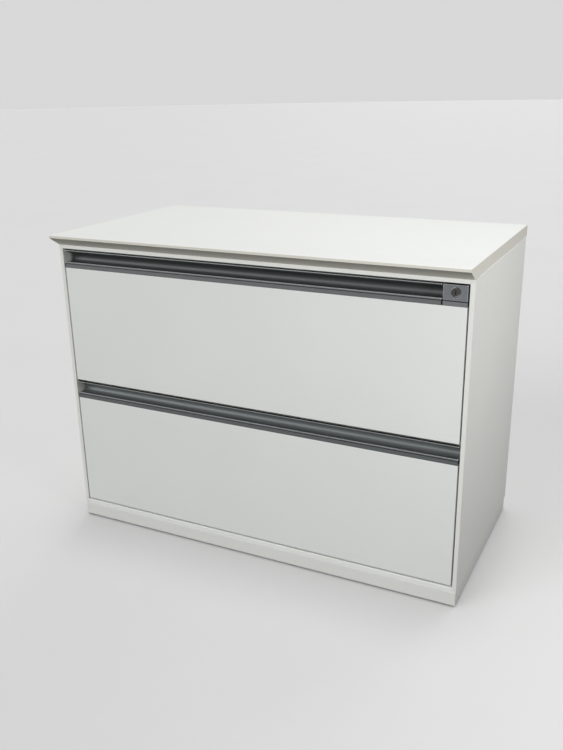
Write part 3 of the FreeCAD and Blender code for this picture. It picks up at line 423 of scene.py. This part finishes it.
# Which material each part of a node's name calls for, and the width of its softened edges in millimetres;
# the first match wins
FINISHES = (
    ("worktop_board", "worktop", 0.7),
    ("base_", "base", 0.5),
    ("foot_plates", "base", 0.3),
    ("counterweight", "ballast", 1.5),
    ("slide_carrier", "zinc", 0.25),
    ("lock_bar_guides", "zinc", 0.25),
    ("gang_lock_bar", "zinc", 0.3),
    ("lock_cam", "zinc", 0.3),
    ("lock_housing", "lock_block", 0.8),
    ("lock_cylinder", "lock_metal", 1.0),
    ("lock_plug", "lock_plug", 0.25),
    ("hanging_rails", "hanging_rail", 0.3),
    ("top_panel", "rail", 0.3),
    ("bottom_panel", "rail", 0.3),
    ("upper_handle", "upper_handle", 0.35),
    ("lower_handle", "lower_handle", 0.35),
    ("_drawer_front", "front", 0.3),
    ("_cage", "cage", 0.1),
    ("_slide_", "zinc", 0.12),
    ("_foot", "foot", 0.6),
    ("", "body", 0.3),
)
# An edge sharper than this is softened, in so many steps, once points this close are joined
SHARP = math.radians(35)
EDGE_STEPS = 2
WELD_REACH = 0.002 * MM


def soften(piece, width):
    """Round the sharp edges of a piece a little, so that they catch the light."""
    weld = piece.modifiers.new("weld", "WELD")
    weld.merge_threshold = WELD_REACH
    edge = piece.modifiers.new("edge", "BEVEL")
    edge.width = width
    edge.segments = EDGE_STEPS
    edge.limit_method = "ANGLE"
    edge.angle_limit = SHARP
    edge.use_clamp_overlap = True
    shade = piece.modifiers.new("shade", "WEIGHTED_NORMAL")
    shade.keep_sharp = True


def dress(piece, material):
    """Give a piece one material in place of what it has."""
    piece.data.materials.clear()
    piece.data.materials.append(MATERIALS[material])


for name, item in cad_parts.items():
    material, edge_width = next(row[1:] for row in FINISHES if row[0] in name)
    dress(item, material)
    soften(item, edge_width * MM)

# Small pieces: screws, rivets and the ball cages

HEAD_SIDES = 24
# Heads, as shares of their radius: outward and upward, from the foot to the crown
SCREW_DOME = ((1.0, 0.0), (1.0, 0.16), (0.93, 0.30), (0.78, 0.42), (0.62, 0.48))
RIVET_DOME = ((1.0, 0.0), (1.0, 0.08), (0.9, 0.24), (0.68, 0.36), (0.42, 0.40), (0.36, 0.30), (0.10, 0.28))
# The cross recess, as shares of the radius: reach, half width and height of its mouth and of its bottom
SCREW_CROSS = ((0.50, 0.11, 0.50), (0.42, 0.07, 0.12))
SCREW_RADIUS = 3.8 * MM
RIVET_RADIUS = 3.2 * MM
RIVET_INSET = 6.5 * MM
RIVET_END = 45 * MM
RIVETS_A_SIDE = 5
# From the middle of the cabinet to the tub's inner face, where the screw heads sit
TUB_INSIDE = 424 * MM
SLIDE_SCREW_MARGIN = 37.3 * MM
SLIDE_SCREWS = 4
FRONT_SCREW_MARGIN = 24 * MM
FRONT_SCREW_DROP = 12 * MM
FRONT_SCREWS = 5
# From the middle of the cabinet to the slides' wall, which the depths of the cages start from
SLIDE_WALL = 437.7 * MM
BALL_RADIUS = 2 * MM
BALL_DETAIL = 3
CAGE_BALLS = 11
CAGE_MARGIN = 12 * MM
CAGE_SHEET = 1 * MM
CAGE_EDGE = 0.15 * MM
CAGE_REACH = 3.4 * MM
# Half the width of a ball's window, and the runs of a cage's section that hold the windows
WINDOW = 2.25 * MM
WINDOW_RUNS = (1, 5)
# For each cage: depth of its web, depth of its ball rows and height of its ball rows
CAGES = {
    "outer": (2.0 * MM, 6.05 * MM, 19.64 * MM),
    "inner": (4.8 * MM, 7.25 * MM, 15.12 * MM),
}


def piece_from(name, form, body, material):
    """Turn mesh code's form into a finished piece that rides on a body."""
    mesh = bpy.data.meshes.new(name)
    form.normal_update()
    form.to_mesh(mesh)
    form.free()
    piece = bpy.data.objects.new(name, mesh)
    bpy.context.scene.collection.objects.link(piece)
    mesh.materials.append(MATERIALS[material])
    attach(piece, body)
    return piece


def frame_at(place, outward):
    """A place and turn whose Z axis points outward."""
    return Matrix.Translation(place) @ Vector(outward).to_track_quat("Z", "Y").to_matrix().to_4x4()


def ring(form, corners, place):
    """A closed loop of edges through corners, set at a place."""
    points = [form.verts.new(place @ Vector(corner)) for corner in corners]
    return [form.edges.new((points[index - 1], points[index])) for index in range(len(points))]


def circle(radius, rise):
    turns = (2 * math.pi * side / HEAD_SIDES for side in range(HEAD_SIDES))
    return [(radius * math.cos(turn), radius * math.sin(turn), rise) for turn in turns]


def cross(reach, half, rise):
    """The outline of a cross, one arm after another."""
    arm = [(reach, -half), (reach, half), (half, half)]
    corners = []
    for quarter in range(4):
        cos = round(math.cos(quarter * math.pi / 2))
        sin = round(math.sin(quarter * math.pi / 2))
        corners += [(x * cos - y * sin, x * sin + y * cos, rise) for x, y in arm]
    return corners


def dome(form, place, radius, profile):
    """The loops of a round head, from its foot to its crown."""
    return [ring(form, circle(radius * share, radius * rise), place) for share, rise in profile]


def skin(form, loops):
    """Close a stack of loops, and the last loop itself."""
    for lower, upper in zip(loops, loops[1:]):
        bmesh.ops.bridge_loops(form, edges=lower + upper)
    bmesh.ops.edgeloop_fill(form, edges=loops[-1])


def screw_head(form, place, radius):
    """A domed screw head with a cross recess that tapers to its bottom."""
    loops = dome(form, place, radius, SCREW_DOME)
    for reach, half, rise in SCREW_CROSS:
        loops.append(ring(form, cross(radius * reach, radius * half, radius * rise), place))
    skin(form, loops)


def rivet_head(form, place, radius):
    """A low dome with the small dimple that a pulled rivet leaves."""
    skin(form, dome(form, place, radius, RIVET_DOME))


def spread(low, high, count):
    return [low + (high - low) * index / (count - 1) for index in range(count)]


def fasteners(name, body, head, radius, spots, material):
    """All the screws or rivets of one body, as one piece; spots are (place, outward)."""
    form = bmesh.new()
    for place, outward in spots:
        head(form, frame_at(place, outward), radius)
    bmesh.ops.recalc_face_normals(form, faces=form.faces)
    for face in form.faces:
        face.smooth = True
    piece = piece_from(name, form, body, material)
    crisp = piece.modifiers.new("crisp", "EDGE_SPLIT")
    crisp.split_angle = SHARP


def drawer_screws(level):
    """Screws through the tub's sides into the slides, and through the inner front into the drawer front."""
    spots = []
    for side, sign in SIDES:
        low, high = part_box(f"{level}_{side}_slide_inner")
        middle = (low[2] + high[2]) / 2
        for y in spread(low[1] + SLIDE_SCREW_MARGIN, high[1] - SLIDE_SCREW_MARGIN, SLIDE_SCREWS):
            spots.append(((sign * TUB_INSIDE, y, middle), (-sign, 0, 0)))
    low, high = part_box(f"{level}_inner_front")
    for x in spread(low[0] + FRONT_SCREW_MARGIN, high[0] - FRONT_SCREW_MARGIN, FRONT_SCREWS):
        spots.append(((x, high[1], high[2] - FRONT_SCREW_DROP), (0, 1, 0)))
    fasteners(f"{level}_drawer_screws", f"{level}_drawer", screw_head, SCREW_RADIUS, spots,
              "zinc")


def back_rivets():
    """Rivets that hold the back panel to the side panels' flanges."""
    low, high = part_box("right_side_panel")
    reach = high[0] - RIVET_INSET
    heights = spread(low[2] + RIVET_END, high[2] - RIVET_END, RIVETS_A_SIDE)
    spots = [((x, high[1], z), (0, 1, 0)) for x in (-reach, reach) for z in heights]
    fasteners("back_rivets", "carcass", rivet_head, RIVET_RADIUS, spots, "body")


def cage_strip(section, steps):
    """A folded strip along Y with this section, and with windows in every second step."""
    form = bmesh.new()
    grid = [[form.verts.new((x, y, z)) for x, z in section] for y in steps]
    for step in range(len(steps) - 1):
        for run in range(len(section) - 1):
            if step % 2 and run in WINDOW_RUNS:
                continue
            form.faces.new((grid[step][run], grid[step + 1][run], grid[step + 1][run + 1],
                            grid[step][run + 1]))
    return form


def cage_balls(x, row, heights):
    """A ball at each place of the rows along Y."""
    form = bmesh.new()
    for y in row:
        for z in heights:
            bmesh.ops.create_icosphere(form, subdivisions=BALL_DETAIL, radius=BALL_RADIUS,
                                       matrix=Matrix.Translation((x, y, z)))
    for face in form.faces:
        face.smooth = True
    return form


def ball_cage(level, side, sign, kind):
    """A ball cage with a window for each ball of its two rows, in place of the coarse one.

    Its body has the same name as its node.
    """
    node = f"{level}_{side}_slide_{kind}_cage"
    low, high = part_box(node)
    web, line, rise = CAGES[kind]
    middle = (low[2] + high[2]) / 2
    wall = sign * SLIDE_WALL
    row = spread(low[1] + CAGE_MARGIN, high[1] - CAGE_MARGIN, CAGE_BALLS)
    # The section at the middle of the sheet, from one tip round the web to the other
    depths = [line + CAGE_REACH, line + WINDOW, line - WINDOW, web]
    outline = [(depth, rise) for depth in depths] + [(depth, -rise) for depth in reversed(depths)]
    section = [(wall - sign * depth, middle + z) for depth, z in outline]
    steps = [low[1]]
    for y in row:
        steps += [y - WINDOW, y + WINDOW]
    steps.append(high[1])
    strip = piece_from(node + "_strip", cage_strip(section, steps), node, "cage")
    sheet = strip.modifiers.new("sheet", "SOLIDIFY")
    sheet.thickness = CAGE_SHEET
    sheet.offset = 0
    soften(strip, CAGE_EDGE)
    heights = (middle + rise, middle - rise)
    form = cage_balls(wall - sign * line, row, heights)
    balls = piece_from(node + "_balls", form, node, "ball")
    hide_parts(node)
    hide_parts(node)


for level in LEVELS:
    drawer_screws(level)
    for side, sign in SIDES:
        for kind in CAGES:
            ball_cage(level, side, sign, kind)
back_rivets()

# Stage

# The floor's size, its grey as the camera sees it and as it lights the object, and its finish
FLOOR_RADIUS = 40.0
FLOOR_SIDES = 96
FLOOR_SHOWN = 0.79
FLOOR_DARK = 0.985
FLOOR_BOUNCE = 0.05
FLOOR_WARMTH = 0.06
FLOOR_ROUGH = 0.7
FLOOR_GLOSS = 0.2
# The sky's strength as light, and its grey as the camera sees it
SKY_LIGHT = 0.50
BACKDROP = 0.69
SPOT_BLEND = 1.0
SPOT_RADIUS = 0.25
# Each lamp's name, kind, place, target, power and size: a sun's or spot's angle, or an area's side
LAMPS = (
    ("overhead", "SUN", (0.0, 0.1, 1.3), (0, 0, 0.3), 0.56, math.radians(16)),
    ("left_soft", "SUN", (-1.0, -1.6, 0.65), (0, 0, 0.3), 1.97, math.radians(50)),
    ("back_soft", "SUN", (0.1, 1.6, 0.75), (0, 0, 0.3), 0.95, math.radians(60)),
    ("right_soft", "AREA", (1.35, -0.72, 1.30), (0.3, 0, 0.5), 3.0, 0.5),
    ("side_soft", "SPOT", (2.3, -1.15, 0.74), (0.45, 0, 0.71), 65.0, math.radians(36)),
)


def seen_rays(tree):
    """1 where the camera sees a surface straight, in a gloss or through glass, and 0 for its soft light."""
    path = tree.nodes.new("ShaderNodeLightPath")
    total = path.outputs["Is Camera Ray"]
    for other in ("Is Glossy Ray", "Is Transmission Ray"):
        add = tree.nodes.new("ShaderNodeMath")
        add.operation = "ADD"
        add.use_clamp = True
        tree.links.new(total, add.inputs[0])
        tree.links.new(path.outputs[other], add.inputs[1])
        total = add.outputs[0]
    return total


def stage():
    """A wide floor that shows pale and throws little light back at the object."""
    mesh = bpy.data.meshes.new("floor")
    form = bmesh.new()
    bmesh.ops.create_circle(form, cap_ends=True, segments=FLOOR_SIDES, radius=FLOOR_RADIUS)
    form.to_mesh(mesh)
    form.free()
    floor = bpy.data.objects.new("floor", mesh)
    bpy.context.scene.collection.objects.link(floor)
    graph = Graph("floor_pale")
    patches = graph.noise(600 * MM, detail=4.0)
    grain = graph.noise(4 * MM, detail=2.0)
    pale = graph.mottle(patches, grey(FLOOR_SHOWN * FLOOR_DARK), grey(FLOOR_SHOWN))
    graph.colour(graph.blend(seen_rays(graph.tree), grey(FLOOR_BOUNCE, FLOOR_WARMTH), pale))
    graph.bumps((grain, 0.1 * MM))
    mesh.materials.append(graph.finish(Roughness=FLOOR_ROUGH, Specular_IOR_Level=FLOOR_GLOSS))


def surroundings():
    """A world that lights softly and shows as a pale backdrop."""
    world = bpy.data.worlds.new("studio")
    bpy.context.scene.world = world
    world.use_nodes = True
    tree = world.node_tree
    tree.nodes.clear()
    out = tree.nodes.new("ShaderNodeOutputWorld")
    light = tree.nodes.new("ShaderNodeBackground")
    light.inputs["Color"].default_value = grey(1.0)
    light.inputs["Strength"].default_value = SKY_LIGHT
    shown = tree.nodes.new("ShaderNodeBackground")
    shown.inputs["Color"].default_value = grey(BACKDROP)
    shown.inputs["Strength"].default_value = 1.0
    mix = tree.nodes.new("ShaderNodeMixShader")
    tree.links.new(seen_rays(tree), mix.inputs[0])
    tree.links.new(light.outputs[0], mix.inputs[1])
    tree.links.new(shown.outputs[0], mix.inputs[2])
    tree.links.new(mix.outputs[0], out.inputs["Surface"])


def lamp(name, kind, place, target, power, size):
    """A lamp at a place that points at a target."""
    data = bpy.data.lights.new(name, kind)
    data.energy = power
    if kind == "SUN":
        data.angle = size
    elif kind == "SPOT":
        data.spot_size = size
        data.spot_blend = SPOT_BLEND
        data.shadow_soft_size = SPOT_RADIUS
    else:
        data.size = size
    item = bpy.data.objects.new(name, data)
    item.location = place
    item.visible_camera = False
    item.rotation_euler = (Vector(target) - Vector(place)).to_track_quat("-Z", "Y").to_euler()
    bpy.context.scene.collection.objects.link(item)


stage()
surroundings()
for row in LAMPS:
    lamp(*row)

# Camera, at the photograph's angle

# Focal length in millimetres, place in metres and turns in radians
LENS = 39.55
CAMERA_PLACE = Vector((0.76425, -1.5769, 0.97422))
YAW = 0.46476
PITCH = 0.34192
ROLL = -0.01801


def camera():
    """The view of the photograph: turned to the left, tilted down and rolled a little."""
    ahead = Vector((-math.sin(YAW) * math.cos(PITCH), math.cos(YAW) * math.cos(PITCH), -math.sin(PITCH)))
    level = Vector((math.cos(YAW), math.sin(YAW), 0))
    upright = level.cross(ahead)
    right = math.cos(ROLL) * level + math.sin(ROLL) * upright
    up = math.cos(ROLL) * upright - math.sin(ROLL) * level
    data = bpy.data.cameras.new("camera")
    data.lens = LENS
    item = bpy.data.objects.new("camera", data)
    turn = Matrix((right, up, -ahead)).transposed()
    item.matrix_world = Matrix.Translation(CAMERA_PLACE) @ turn.to_4x4()
    bpy.context.scene.collection.objects.link(item)
    bpy.context.scene.camera = item


camera()
bpy.context.scene.view_settings.view_transform = "Standard"
